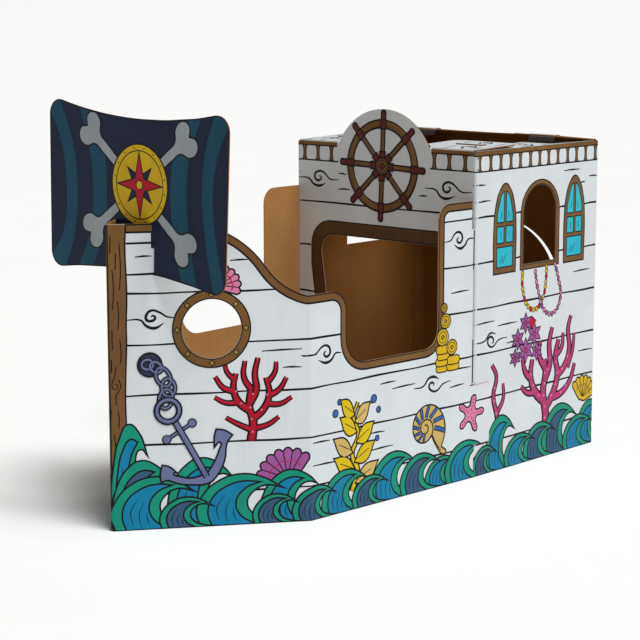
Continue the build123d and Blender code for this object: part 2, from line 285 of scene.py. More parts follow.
def patch(art, ink, loops, level, corners=(), grow=0.0):
    if isinstance(loops[0][0], (int, float)):
        loops = [loops]
    data = curveOf(loops, True, corners)
    data.dimensions = "2D"
    data.fill_mode = "BOTH"
    data.extrude = sheetLift["thick"] / 2
    data.offset = grow
    keepShape(art, meshOf(data), ink, level)


# A filled shape with an ink line round it: the line's sheet lies under the colour's
def inked(art, ink, loops, level, corners=(), line=inkLine):
    patch(art, "black", loops, level, corners, line / 2)
    patch(art, ink, loops, level + 1, corners, -line / 2)


def stroke(art, points, level, width=inkLine, ink="black", closed=False, corners=(), radii=None):
    data = curveOf([points], closed, corners, radii)
    data.dimensions = "3D"
    data.resolution_u = 4
    data.bevel_depth = width / 2
    data.bevel_resolution = 1
    data.use_fill_caps = True
    keepShape(art, meshOf(data), ink, level, flatten=sheetLift["thick"] / width)


# A thick coloured stroke with ink lines on both sides
def rope(art, ink, points, level, width, closed=False, line=inkLine):
    stroke(art, points, level, width + line, "black", closed)
    stroke(art, points, level + 1, width - line, ink, closed)


def ringOf(centre, radius, count=12, tall=None, turn=0.0):
    tall = tall or radius
    made = []
    for i in range(count):
        a = 2 * pi * i / count
        x, y = radius * cos(a), tall * sin(a)
        made.append((
            centre[0] + x * cos(turn) - y * sin(turn),
            centre[1] + x * sin(turn) + y * cos(turn),
        ))
    return made


def disc(art, ink, centre, radius, level, line=inkLine, count=10):
    inked(art, ink, ringOf(centre, radius, count), level, line=line)


# The outline of a round-headed opening, from its foot up and over
def archOf(centre, half, foot, spring, step):
    turn = [(centre + half * cos(radians(a)), spring + half * sin(radians(a))) for a in range(0, 181, step)]
    return [(centre + half, foot)] + turn + [(centre - half, foot)]


# Points along a line whose corners are rounded, as a cut or printed edge runs
def rounded(points, radii):
    made = [Vector(points[0])]
    for i in range(1, len(points) - 1):
        here = Vector(points[i])
        back, ahead = (Vector(points[i - 1]) - here).normalized(), (Vector(points[i + 1]) - here).normalized()
        radius = radii[i - 1]
        half = back.angle(ahead) / 2
        if not radius:
            made.append(here)
            continue
        reach = radius / tan(half)
        centre = here + (back + ahead).normalized() * radius / sin(half)
        start, end = here + back * reach - centre, here + ahead * reach - centre
        sweep = start.angle_signed(end)
        count = max(2, ceil(abs(degrees(sweep)) / 12))
        for k in range(count + 1):
            made.append(centre + Matrix.Rotation(-sweep * k / count, 2) @ start)
    made.append(Vector(points[-1]))
    return [tuple(p) for p in made]


# The same line moved sideways, to its right as it runs
def beside(points, gap):
    made = []
    for i, point in enumerate(points):
        before, after = Vector(points[max(i - 1, 0)]), Vector(points[min(i + 1, len(points) - 1)])
        along = (after - before).normalized()
        made.append((point[0] + along.y * gap, point[1] - along.x * gap))
    return made


# Wrapping onto the folded board
def foldRoute(points, radii, start):
    pieces, s, last = [], start, Vector(points[0])
    heading = atan2(points[1][1] - points[0][1], points[1][0] - points[0][0])
    for i in range(1, len(points)):
        here = Vector(points[i])
        if i < len(points) - 1:
            ahead = Vector(points[i + 1]) - here
            turn = (atan2(ahead.y, ahead.x) - heading + pi) % (2 * pi) - pi
            radius = radii[i - 1]
            reach = radius * tan(abs(turn) / 2)
        else:
            turn = reach = radius = 0
        run = (here - last).length - reach
        pieces.append({"s": s, "run": run, "at": last.copy(), "heading": heading, "curve": 0})
        s += run
        last = last + Vector((cos(heading), sin(heading))) * run
        if turn:
            arc = radius * abs(turn)
            pieces.append({
                "s": s, "run": arc, "at": last.copy(), "heading": heading, "curve": (turn > 0) * 2 - 1,
                "radius": radius,
            })
            s += arc
            heading += turn
            last = here + Vector((cos(heading), sin(heading))) * reach
    return pieces


def routePlace(pieces, s):
    piece = pieces[0]
    for other in pieces:
        if s >= other["s"]:
            piece = other
    gone = s - piece["s"]
    heading = piece["heading"]
    if piece["curve"]:
        side, radius = piece["curve"], piece["radius"]
        centre = piece["at"] + Vector((-sin(heading), cos(heading))) * side * radius
        heading += side * gone / radius
        return centre + Vector((sin(heading), -cos(heading))) * side * radius, heading
    return piece["at"] + Vector((cos(heading), sin(heading))) * gone, heading


def midPoint(back):
    return frontX - back, -(cornerY - back * tan(midAngle))


# Print starts this far above the floor
floorGap = 0.3

# Heights of the hull's outer lap and of its two inner tabs
lapHeights = (114, 317)
tabHeights = ((320, 478), (703, 843))


def onTab(z):
    return any(low < z < high for low, high in tabHeights)


def onLap(z):
    return lapHeights[0] < z < lapHeights[1]


noseTrim = ship["bowFold"] * tan(pi / 2 - bowAngle)
hullShape = [(creaseX, creaseY), (bowX, 0), (creaseX, -creaseY), midPoint(24)]
hullTurns = [ship["bowFold"], ship["crease"], ship["joggle"], ship["joggle"]]

# Where the hull's ends start to step in or out, how far they reach, and their slack off the castle's wall
hullEnds = {"start": 4, "tab": 46, "lap": 82, "slack": 0.5}
innerY = sideY - ship["board"] * 1.5 - hullEnds["slack"]
outerY = sideY + ship["board"] / 2 + hullEnds["slack"]
slipX = frontX - hullEnds["start"]
hullRoutes = {
    "edge": foldRoute(hullShape + [midPoint(0)], hullTurns, 0),
    "tab": foldRoute(hullShape + [(slipX, -innerY), (frontX + hullEnds["tab"], -innerY)], hullTurns, 0),
    "lap": foldRoute(hullShape + [(slipX, -outerY), (frontX + hullEnds["lap"], -outerY)], hullTurns, 0),
}
hullShift = noseTrim - (hullRoutes["edge"][1]["s"] + hullRoutes["edge"][1]["run"])
noseStart = noseTrim - ship["bowFold"] * (pi / 2 - bowAngle)
creaseTurn = bowAngle - midAngle
midStart = bowLength - 2 * ship["crease"] * tan(creaseTurn / 2) + ship["crease"] * creaseTurn


def onHull(s, z, lift):
    zone = "lap" if lapHeights[0] + 0.5 < z < lapHeights[1] else "tab" if onTab(z) else "edge"
    at, heading = routePlace(hullRoutes[zone], s - hullShift)
    out = ship["board"] / 2 + lift
    return at.x + sin(heading) * out, at.y - cos(heading) * out, z


def creaseCuts(route, shift):
    cuts = []
    for piece in route:
        if piece["curve"]:
            cuts += [piece["s"] + shift + piece["run"] * k / 4 for k in range(5)]
    return cuts


hullCuts = creaseCuts(hullRoutes["lap"], hullShift)
hullLevels = tuple(edge + k for edge in lapHeights for k in (0, 1))

castleShape = [(frontX + 2, 0), (frontX + 2, -cornerY), (sternX - 2, -cornerY), (sternX - 2, 0)]
castleRoute = foldRoute(castleShape, [ship["corner"]] * 2, 0)
sideShift = 12 - castleRoute[2]["s"]
flapEnds = (ship["flapEnd"], ship["castleLength"] - ship["flapEnd"])


# Height above a roof fold's start is measured round the fold; corners and the round sign go straight up
def overFold(z, top, lift, folds):
    start = top - ship["fold"]
    if z <= start:
        return lift, z
    if not folds:
        return lift, start + (z - start) * 2 / pi
    turn = (z - start) / ship["fold"]
    reach = ship["fold"] + lift
    return reach * cos(turn) - ship["fold"], start + reach * sin(turn)


def onCastleSide(u, z, lift):
    at, heading = routePlace(castleRoute, u - sideShift)
    out, z = overFold(z, ship["sideTop"], lift, flapEnds[0] < u < flapEnds[1])
    out += ship["board"] / 2
    return at.x + sin(heading) * out, at.y - cos(heading) * out, z


sideCuts = creaseCuts(castleRoute, sideShift) + [end + gap for end in flapEnds for gap in (-0.1, 0.1)]
sideLevels = tuple(ship["sideTop"] - ship["fold"] + k * 2.5 for k in range(6))


def onFront(a, z, lift):
    out, z = overFold(z, ship["frontTop"], lift, True) if abs(a) > ship["signHalf"] - 1 else (lift, z)
    return frontX - out, -a, z


def onStern(a, z, lift):
    out, z = overFold(z, ship["frontTop"], lift, True)
    return sternX + out, a, z


frontLevels = tuple(ship["frontTop"] - ship["fold"] + k * 2.5 for k in range(6))
flagX = bowX + 138 * cos(bowAngle)


def onFlag(a, z, lift):
    return flagX - ship["board"] / 2 - lift, -a, z


def dress(art, name, route, cuts=(), levels=(), mirrored=False, keep=None):
    shape = art["mesh"].copy()
    for direction, places in (((1, 0, 0), cuts), ((0, 1, 0), levels)):
        for place in places:
            at = Vector(direction) * place
            bmesh.ops.bisect_plane(
                shape, geom=shape.verts[:] + shape.edges[:] + shape.faces[:], plane_co=at, plane_no=direction
            )
    if keep:
        beyond = [face for face in shape.faces if not keep(*face.calc_center_median().xy)]
        bmesh.ops.delete(shape, geom=beyond, context="FACES")
    for vert in shape.verts:
        x, y, z = route(*vert.co)
        vert.co = Vector((x, -y if mirrored else y, z)) / 1000
    bmesh.ops.recalc_face_normals(shape, faces=shape.faces)
    mesh = bpy.data.meshes.new(name)
    shape.to_mesh(mesh)
    shape.free()
    for ink in art["inks"]:
        mesh.materials.append(inks[ink])
    piece = bpy.data.objects.new(name, mesh)
    bpy.context.scene.collection.objects.link(piece)
    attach(piece, "root")
    return piece


def bothSides(art, name, route, cuts=(), levels=(), keep=None):
    dress(art, name + "_port", route, cuts, levels, keep=keep)
    dress(art, name + "_starboard", route, cuts, levels, mirrored=True, keep=keep)
    art["mesh"].free()


# Printed liner: the outer side of each sheet, taken from the CAD node's own faces
def linerOf(nodeName, name, seeds, ink):
    shape = bmesh.new()
    shape.from_mesh(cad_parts[nodeName].data)
    bmesh.ops.remove_doubles(shape, verts=shape.verts, dist=1e-5)
    shape.faces.ensure_lookup_table()
    shape.normal_update()
    kept, queue = set(), []
    for place, facing in seeds:
        place, facing = Vector(place) / 1000, Vector(facing).normalized()
        near = [f for f in shape.faces if f.normal.dot(facing) > 0.95]
        near = [f for f in near if abs((f.verts[0].co - place).dot(facing)) < 0.006]
        queue.append(min(near, key=lambda f: (f.calc_center_median() - place).length))
    while queue:
        face = queue.pop()
        if face in kept:
            continue
        kept.add(face)
        for edge in face.edges:
            for other in edge.link_faces:
                if other not in kept and other.normal.dot(face.normal) > 0.75:
                    queue.append(other)
    bmesh.ops.delete(shape, geom=[f for f in shape.faces if f not in kept], context="FACES")
    for face in shape.faces:
        face.smooth = False
    mesh = bpy.data.meshes.new(name)
    shape.to_mesh(mesh)
    shape.free()
    if "custom_normal" in mesh.attributes:
        mesh.attributes.remove(mesh.attributes["custom_normal"])
    mesh.materials.append(inks[ink])
    piece = bpy.data.objects.new(name, mesh)
    bpy.context.scene.collection.objects.link(piece)
    paper = piece.modifiers.new("paper", "SOLIDIFY")
    paper.thickness = sheetLift["liner"] / 1000
    paper.offset = 1
    paper.use_even_offset = True
    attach(piece, "root")
    print(name, "faces", len(mesh.polygons))
    return piece


panelRun = {"middle": 762, "lap": 80}
hullEnd = midStart + panelRun["middle"]
lapEnd = hullEnd + panelRun["lap"]
hullSeeds = [(onHull(300, 300, 0), (-sin(bowAngle), -cos(bowAngle), 0))]
for s, z in (
    (hullEnd - 12, 400), (hullEnd - 12, 780), (hullEnd - 12, 200), (hullEnd + 30, 400), (hullEnd + 30, 780),
    (hullEnd + 40, 200),
):
    x, y, z = onHull(s, z, 0)
    hullSeeds += [((x, y, z), (0, -1, 0)), ((x, -y, z), (0, 1, 0))]
linerOf("hull", "hull_liner", hullSeeds, "white")

# The stern door's leaf, a few degrees ajar
sternDoor = {"half": 250, "foot": 45, "spring": 533, "trim": 26, "ajar": 2.6}
ajar = tan(radians(sternDoor["ajar"]))
linerOf(
    "castle", "castle_liner",
    [
        ((600, -sideY, 500), (0, -1, 0)), ((600, sideY, 500), (0, 1, 0)), ((frontX, 350, 950), (-1, 0, 0)),
        ((sternX, 350, 950), (1, 0, 0)), ((sternX - sternDoor["half"] * ajar, 0, 300), (1, -ajar, 0)),
    ],
    "white",
)
linerOf("flag", "flag_liner", [((flagX - 2, 200, 1000), (-1, 0, 0))], "navy")

# Hull: plank lines, grain, painted slot shadows, rail and post
plankHeights = (109, 263, 417, 571, 725, 878)
notch = {"front": 153, "back": 578, "sill": 470}
notchFront, notchBack = midStart + notch["front"], midStart + notch["back"]


def plank(art, a, b, z, seed=0, width=6.6):
    count = max(2, int(abs(b - a) / 90))
    points = [(a + (b - a) * k / count, z + 1.1 * sin(k * 2.3 + seed)) for k in range(count + 1)]
    radii = [0.92 + 0.2 * sin(k * 1.7 + seed) for k in range(count + 1)]
    stroke(art, points, 0, width, radii=radii)


def dash(art, a, b, z, tilt=0.0, width=6.2):
    middle = (a + b) / 2
    stroke(art, [(a, z), (middle, z + tilt / 2 + 1), (b, z + tilt)], 0, width, radii=[0.5, 1, 0.45])


# Wood grain that swirls round a knot: a stroke that curls in, and one that dips past it
def grain(art, curl, dip, width=8.8):
    tail = [0.3] + [0.62 + 0.38 * sin(pi * k / (len(curl) - 2)) for k in range(len(curl) - 2)] + [0.3]
    stroke(art, curl, 0, width, radii=tail)
    stroke(art, dip, 0, width, radii=[0.35] + [0.7, 0.95, 1.15, 0.9][:len(dip) - 2] + [0.25])


# Points that are counted from the start of the hull's middle panel
def aft(points):
    return [(midStart + s, z) for s, z in points]


planksAndSlotShadowsArt = newArt()
hullPlanks = (
    (58, 380, 878), (142, 56, 785), (55, 508, 727), (55, 206, 571), (418, notchFront - 24, 571),
    (50, lapEnd, 417), (40, lapEnd, 263), (30, hullEnd, 109),
    (notchBack + 24, lapEnd, 571), (notchBack + 24, lapEnd, 725), (notchBack + 24, hullEnd, 878),
)
for i, (a, b, z) in enumerate(hullPlanks):
    plank(planksAndSlotShadowsArt, a, b, z, i)
for a, b, z, tilt in (
    (369, 428, 819, 2), (84, 135, 837, 2), (464, 588, 539, 3), (529, 587, 487, -1), (590, 640, 518, 2),
):
    dash(planksAndSlotShadowsArt, a, b, z, tilt)
for a, b, z, tilt in (
    (305, 376, 386, 1), (360, 469, 363, 2), (637, 710, 326, 4), (637, 745, 384, -1), (182, 286, 328, 4),
    (257, 326, 233, -2), (257, 366, 177, 2), (6, 80, 244, -2), (6, 124, 172, -3), (640, 730, 640, 3),
):
    dash(planksAndSlotShadowsArt, midStart + a, midStart + b, z, tilt)
grain(
    planksAndSlotShadowsArt,
    [
        (207, 650), (177, 655), (154, 669), (132, 675), (116, 663), (116, 647), (130, 643), (142, 652),
        (135, 659), (129, 655),
    ],
    [(56, 648), (99, 646), (114, 629), (140, 621), (168, 636)],
)
grain(
    planksAndSlotShadowsArt,
    aft([(-32, 521), (18, 522), (46, 541), (70, 541), (81, 524), (74, 510), (59, 510), (55, 521), (64, 525)]),
    aft([(130, 512), (104, 513), (86, 495), (62, 489), (30, 501)]),
)
grain(
    planksAndSlotShadowsArt,
    aft([(642, 350), (604, 344), (574, 326), (548, 330), (536, 345), (545, 356), (559, 352), (558, 343)]),
    aft([(462, 348), (510, 350), (534, 372), (562, 374), (584, 364)]),
)
grain(
    planksAndSlotShadowsArt,
    aft([
        (602, 812), (636, 816), (656, 836), (676, 840), (692, 826), (688, 808), (672, 806), (667, 817),
        (676, 822),
    ]),
    aft([(758, 812), (722, 812), (706, 794), (684, 785), (652, 800)]),
)
# Painted shadow: a black line down each tab's end, where the tab enters its slot and the gap lies in shade
for low, high in tabHeights:
    stroke(planksAndSlotShadowsArt, [(hullEnd - 6, low + 4), (hullEnd - 5, high - 4)], 1, 8)


edgeBack = ship["edgeBack"]


# The hull's sheet ends in laps and tabs over the castle
def onSheet(s, z):
    lowTop, (high, highTop) = tabHeights[0][1], tabHeights[1]
    end = lapEnd if onLap(z) or onTab(z) else hullEnd
    back = edgeBack["upper"] if z > highTop else edgeBack["lower"] if lowTop < z < high else 0
    return z > floorGap and s < end - back


hullCuts += [hullEnd - edgeBack["upper"], hullEnd - edgeBack["lower"], hullEnd, lapEnd]
hullLevels += (floorGap, *tabHeights[0], *tabHeights[1])


def printHull(art, name):
    bothSides(art, name, onHull, hullCuts, hullLevels, onSheet)


printHull(planksAndSlotShadowsArt, "hull_planks_and_slot_shadows")

rail = {"width": 25, "arc": 307, "start": 222, "steep": 57, "hollow": 214.3}
steep = radians(rail["steep"])
turns = [radians(rail["steep"] * k / 10) for k in range(11)]
crest = [
    (rail["start"] + rail["arc"] * sin(a), ship["hullHeight"] - rail["arc"] * (1 - cos(a))) for a in turns
]
hollow = [
    (crest[-1][0] + rail["hollow"] * (sin(steep) - sin(radians(a))),
     crest[-1][1] - rail["hollow"] * (cos(radians(a)) - cos(steep)))
    for a in (50, 43, 36, 29, 22, 15.2)
]
notchEdge = rounded(
    [
        (618, ship["waist"]), (notchFront, ship["waist"]), (notchFront, notch["sill"]),
        (notchBack, notch["sill"]), (notchBack, ship["hullHeight"]), (hullEnd - 19, ship["hullHeight"]),
    ],
    [65, 85, 62, 52],
)
topEdge = [(54, ship["hullHeight"])] + crest + hollow + [(604, ship["waist"])] + notchEdge
railArt = newArt()
inner = beside(topEdge, rail["width"])
patch(railArt, "brown", [topEdge + inner[::-1]], 2, "all", -0.3)
stroke(railArt, beside(topEdge, 2.2), 3, 4.4, corners="all")
stroke(railArt, inner, 3, 5.8, corners="all")
postEdge = [
    (59, 935), (56, 900), (55, 850), (57, 784), (58, 709), (55, 640), (55, 573), (51, 480), (49, 405),
    (50, 329), (53, 240), (50, 140), (52, 0.5),
]
patch(railArt, "brown", [[(noseStart, 0.5), (noseStart, 935.5)] + postEdge], 4, (0, 1, 2, 14))
stroke(railArt, postEdge, 5, 4.8)
stroke(railArt, [(noseStart + 2, 1), (noseStart + 2, 935)], 5, 2.6)
for points in (
    [(21, 508), (18, 481), (10, 458), (12, 443), (22, 439), (26, 450), (18, 455)],
    [(30, 468), (35, 449), (29, 432), (22, 422), (21, 390)], [(9, 530), (9, 490)],
    [(35, 590), (38, 550), (36, 518)], [(6, 378), (4, 341)], [(26, 372), (29, 350), (27, 318)],
    [(12, 620), (12, 559)], [(30, 706), (33, 660), (30, 620)], [(16, 800), (19, 740), (15, 680)],
    [(38, 880), (41, 800), (37, 740)], [(12, 905), (10, 850)], [(27, 850), (25, 800)],
    [(14, 300), (17, 240), (13, 180)], [(34, 262), (31, 200), (36, 150)], [(22, 150), (25, 90), (21, 20)],
    [(40, 90), (38, 24)],
):
    stroke(railArt, points, 5, 3.4)
printHull(railArt, "rail_and_post")
print("planks and rail printed")

# Porthole ring
porthole = {"centre": (311.7, 613), "hole": 90.5, "outer": 118, "rivets": 8}
ringArt = newArt()
c = porthole["centre"]
patch(ringArt, "black", [ringOf(c, porthole["outer"] + 2.3, 24), ringOf(c, porthole["hole"] + 0.4, 24)], 6)
patch(ringArt, "brown", [ringOf(c, porthole["outer"] - 2.3, 24), ringOf(c, porthole["hole"] + 4, 24)], 7)
for i in range(porthole["rivets"]):
    a = radians(45 * i)
    middle = (c[0] + 104.5 * cos(a), c[1] + 104.5 * sin(a))
    inked(ringArt, "brass", ringOf(middle, 8.4, 4), 8, "all", 3)
bothSides(ringArt, "porthole_ring", onHull)

# Anchor and chain
anchorArt = newArt()
over = 26
disc(anchorArt, "deep", (123, 510), 36, over, count=14)
for i, (x, z, long, tall, turn) in enumerate((
    (116, 511, 17, 15, 0), (141, 502, 19, 15, -0.6), (163, 471, 31, 20, -1.1), (178, 438, 28, 20, -1.45),
    (170, 404, 30, 20, 1.4),
)):
    rope(anchorArt, "steel", ringOf((x, z), long, 10, tall, turn), over + 2 + i, 10.6, closed=True, line=4)
rope(anchorArt, "steel", [(249, 326), (171, 278)], over + 2, 9.6, line=3.8)
for end in ((249, 326), (171, 278)):
    disc(anchorArt, "steel", end, 12.5, over + 2, 3.8)
arms = [
    (300, 138), (326, 163), (347, 206), (356, 262), (372, 284), (348, 299), (322, 304), (316, 280),
    (316, 248), (334, 263), (329, 236), (316, 204), (294, 168), (244, 155), (209, 162), (190, 172),
    (200, 174), (176, 194), (156, 199), (150, 174), (152, 145), (169, 151), (203, 140), (244, 134),
]
inked(anchorArt, "steel", arms, over + 4, (4, 6, 8, 12, 16, 18, 20))
rope(anchorArt, "steel", [(193, 338), (222, 286), (292, 156)], over + 6, 17.5, line=4)
rope(anchorArt, "steel", ringOf((176, 367), 34, 14), over + 8, 15, closed=True)
printHull(anchorArt, "anchor_and_chain")
print("porthole and anchor printed")

# Waves along the foot of the walls
waveShape = {
    "outer": [
        (0.02, 0), (-0.03, 0.3), (0.05, 0.62), (0.24, 0.88), (0.5, 1.0), (0.78, 0.93), (1.04, 0.7),
        (0.84, 0.76), (0.67, 0.64), (0.6, 0.42), (0.68, 0.2), (0.88, 0.07), (1.2, 0),
    ],
    "outerCorners": (0, 6, 12),
    "inner": [
        (0.16, 0), (0.11, 0.28), (0.17, 0.56), (0.34, 0.77), (0.56, 0.86), (0.76, 0.83), (0.57, 0.71),
        (0.46, 0.46), (0.51, 0.2), (0.66, 0.04), (0.7, 0),
    ],
    "innerCorners": (0, 5, 10),
    "hairs": (
        [(0.25, 0.1), (0.22, 0.34), (0.32, 0.6)], [(0.36, 0.04), (0.33, 0.28), (0.39, 0.52)],
        [(0.46, 0.1), (0.43, 0.22), (0.43, 0.34)],
    ),
}


def wave(art, at, width, height, inner, row):
    def sized(points):
        return [(at + p[0] * width, max(0.6, p[1] * height)) for p in points]
    base = 6 + 5 * row
    inked(art, "waveGreen", sized(waveShape["outer"]), base, waveShape["outerCorners"])
    inked(art, inner, sized(waveShape["inner"]), base + 2, waveShape["innerCorners"])
    for hair in waveShape["hairs"]:
        stroke(art, sized(hair), base + 4, 3.2, radii=[0.5, 1, 0.4])


seaArt = newArt()
for each in (
    (4, 104, 330, "waveBlue", 0), (8, 164, 216, "waveSlate", 1), (6, 236, 164, "waveBlue", 2),
    (176, 190, 216, "waveBlue", 0), (150, 150, 96, "waveSlate", 3), (266, 250, 160, "waveBlue", 1),
    (462, 170, 166, "waveBlue", 0), (436, 130, 92, "waveSlate", 2), (560, 150, 108, "waveSlate", 1),
    (664, 190, 136, "waveBlue", 0), (798, 150, 98, "waveSlate", 1), (880, 200, 156, "waveBlue", 0),
    (1020, 176, 128, "waveSlate", 1), (1140, 150, 102, "waveBlue", 0), (1238, 190, 134, "waveBlue", 1),
):
    wave(seaArt, *each)
printHull(seaArt, "hull_waves")
print("hull waves printed")

# Sea motifs on the hull
motifArt = newArt()


# Branches drawn as one growth: every ink line lies under every coloured stroke
def growth(art, ink, branches, level, width, line=inkLine):
    for grow, colour, lift in ((line, "black", 0), (-line, ink, 1)):
        for points, thick in branches:
            taper = [1 - 0.45 * k / (len(points) - 1) for k in range(len(points))]
            radii = [max(0.35, (thick * width * share + grow) / (width + grow)) for share in taper]
            stroke(art, points, level + lift, width + grow, colour, radii=radii)


def dots(art, ink, places, radius, level):
    for place in places:
        patch(art, ink, ringOf(place, radius, 6), level)


coralFan = (
    ([(430, 262), (436, 320), (424, 372), (430, 430)], 1.1),
    ([(434, 330), (470, 362), (486, 410), (476, 458)], 0.95),
    ([(428, 356), (392, 384), (376, 430), (384, 474)], 0.95),
    ([(424, 376), (446, 420), (442, 470), (452, 520)], 0.9), ([(482, 400), (516, 418), (540, 456)], 0.75),
    ([(478, 376), (520, 374), (556, 394)], 0.7), ([(380, 418), (346, 430), (320, 466)], 0.75),
    ([(394, 384), (352, 384), (318, 402)], 0.7), ([(432, 420), (408, 462), (412, 512)], 0.75),
    ([(480, 440), (504, 474), (508, 506)], 0.65), ([(384, 450), (356, 480), (350, 512)], 0.6),
    ([(440, 300), (484, 312), (516, 334)], 0.7), ([(432, 296), (386, 318), (352, 338)], 0.7),
)
growth(motifArt, "red", coralFan, 1, 25)
dots(
    motifArt, "pink",
    [(434, 290), (432, 330), (428, 366), (462, 358), (400, 380), (436, 408), (480, 404), (384, 418)], 3.2, 3,
)


# A ribbed fan shell: lobed rim, ribs that run back to the hinge
def fanShell(art, at, size, turn, inks, level, lobes=7):
    def put(r, a):
        return at[0] + size * r * sin(a + turn), at[1] + size * r * cos(a + turn)
    rim, wide = [], 1.15
    for k in range(lobes):
        a = -wide + 2 * wide * k / lobes
        b = -wide + 2 * wide * (k + 1) / lobes
        rim += [put(0.93, a), put(1.03, (a * 2 + b) / 3), put(1.03, (a + b * 2) / 3)]
    outline = rim + [put(0.93, wide), put(0.34, 1.5), put(0.2, 1.9), put(0.2, -1.9), put(0.34, -1.5)]
    inked(art, inks[0], outline, level, tuple(range(0, 3 * lobes + 1, 3)) + (3 * lobes + 2, 3 * lobes + 3))
    for k in range(1, lobes):
        a = -wide + 2 * wide * k / lobes
        stroke(art, [put(0.12, a * 0.6), put(0.5, a * 0.94), put(0.93, a)], level + 2, 3.4)
    band = [put(0.62 + 0.03 * cos(a * 9), a) for a in [-1.05 + 0.21 * k for k in range(11)]]
    stroke(art, band, level + 2, 5, inks[1])


fanShell(motifArt, (545, 134), 98, -0.35, ("mauve", "rose"), 1)
fanShell(motifArt, (338, 742), 62, 0.9, ("pink", "rose"), 1, 6)

# Yellow weed: a wavy stem with paired leaves
m = midStart
stem = aft([(176, 60), (204, 120), (178, 180), (206, 240), (184, 300), (204, 345)])
growth(motifArt, "yellow", ((stem, 1.0),), 1, 22)
for k, (x, z, side) in enumerate((
    (192, 92, 1), (196, 130, -1), (188, 160, 1), (182, 192, -1), (196, 222, 1), (200, 256, -1),
    (190, 288, 1), (190, 312, -1),
)):
    long = 106 - 6 * k
    tip = (m + x + side * long, z + 50)
    leaf = [(m + x, z - 8), (m + x + side * long * 0.52, z - 14), tip, (m + x + side * long * 0.4, z + 44)]
    inked(motifArt, "yellow" if k % 3 else "sand", leaf, 3, (0, 2))
    stroke(motifArt, [(m + x + side * 8, z + 2), (m + x + side * long * 0.7, z + 28)], 5, 2.8)
for x, z, r in ((104, 322, 12), (276, 344, 13), (298, 306, 10), (122, 356, 9), (292, 214, 9)):
    disc(motifArt, "blue", (m + x, z), r, 1, 3.6)

# Banded spiral shell in tan and blue
heart = (m + 520, 208)


def whorl(k, share=1.0):
    radius, turn = 108 * share * 0.9226 ** k, -0.75 + pi * k / 6
    return heart[0] + radius * cos(turn), heart[1] + radius * sin(turn)


inked(
    motifArt, "sand", [whorl(k) for k in range(13)] + [(m + 574, 140), (m + 606, 108), (m + 622, 112)], 1,
    (0, 12)
)
for k in range(1, 11):
    rope(
        motifArt, "blue", [whorl(k + 0.25, 0.45), whorl(k + 0.1, 0.7), whorl(k, 0.97)], 3, 15 - 0.7 * k,
        line=3.2,
    )
stroke(motifArt, [whorl(k) for k in range(1, 30)], 5, 5)
stroke(motifArt, [whorl(12.2), (m + 572, 150), (m + 596, 122)], 5, 3.4)

# Stacked coins
coinEdge = ((-30, 0), (-28, 10), (0, 15), (28, 10), (30, 0), (28, -9), (0, -14), (-28, -9))
for k, (x, z) in enumerate(((600, 398), (598, 418), (604, 438), (600, 458), (652, 398), (654, 418))):
    inked(motifArt, "gold", [(m + x + p, z + q) for p, q in coinEdge], 1 + 2 * k, (), 4.2)
for x, z, r in ((m + 600, 500, 28), (m + 646, 462, 25), (m + 614, 552, 24), (m + 606, 596, 15)):
    disc(motifArt, "gold", (x, z), r, 13, 4.2)
    stroke(motifArt, ringOf((x, z), r * 0.66, 10), 15, 2.8, closed=True)
    inked(motifArt, "brass", ringOf((x, z), r * 0.3, 4), 15, "all", 2.8)


# A five-armed sea star with a dotted back
def seaStar(art, at, size, turn, ink, spot, level):
    points = []
    for k in range(5):
        a = 2 * pi * k / 5 + turn
        for reach, off in ((0.4, -0.62), (0.96, -0.1), (0.96, 0.1)):
            points.append((at[0] + size * reach * sin(a + off), at[1] + size * reach * cos(a + off)))
    inked(art, ink, points, level, ())
    for k in range(5):
        a = 2 * pi * k / 5 + turn
        spots = [(at[0] + size * r * sin(a), at[1] + size * r * cos(a)) for r in (0.22, 0.4, 0.58, 0.76)]
        dots(art, spot, spots, 3.4, level + 2)


seaStar(motifArt, (m + 744, 222), 66, 0.25, "pink", "rose", 1)
printHull(motifArt, "hull_motifs")
print("hull motifs printed")

# Castle sides
window = {"place": 358, "half": 94, "sill": 697, "spring": 870, "trim": 18}
lancet = {"places": (158, 560), "half": 61, "foot": 679, "spring": 846, "tip": 982}
sideArt = newArt()
length = ship["castleLength"]
for i, z in enumerate(plankHeights):
    for a, b in ((2, 98), (219, 250), (470, 500), (620, length - 2)) if z > 680 else ((2, length - 2),):
        plank(sideArt, a, b, z, i, 7)
for a, b, z, tilt in (
    (-8, 51, 985, -1), (2, 77, 928, 3), (493, 589, 1002, 0), (592, 622, 954, 1), (645, 700, 974, -2),
    (2, 108, 519, 3), (125, 235, 502, 1), (177, 250, 436, 1), (560, 660, 640, 2), (600, 690, 350, -2),
):
    dash(sideArt, a, b, z, tilt)
grain(
    sideArt,
    [(180, 457), (130, 453), (98, 434), (76, 443), (72, 460), (84, 470), (100, 463), (103, 451), (93, 448)],
    [(2, 456), (57, 460), (84, 482), (118, 476)],
)


def pointedArch(centre, half, foot, spring, tip):
    rise = tip - spring
    return [
        (centre - half, foot), (centre - half, spring), (centre - half * 0.86, spring + rise * 0.45),
        (centre - half * 0.5, spring + rise * 0.83), (centre, tip),
        (centre + half * 0.5, spring + rise * 0.83), (centre + half * 0.86, spring + rise * 0.45),
        (centre + half, spring), (centre + half, foot),
    ]


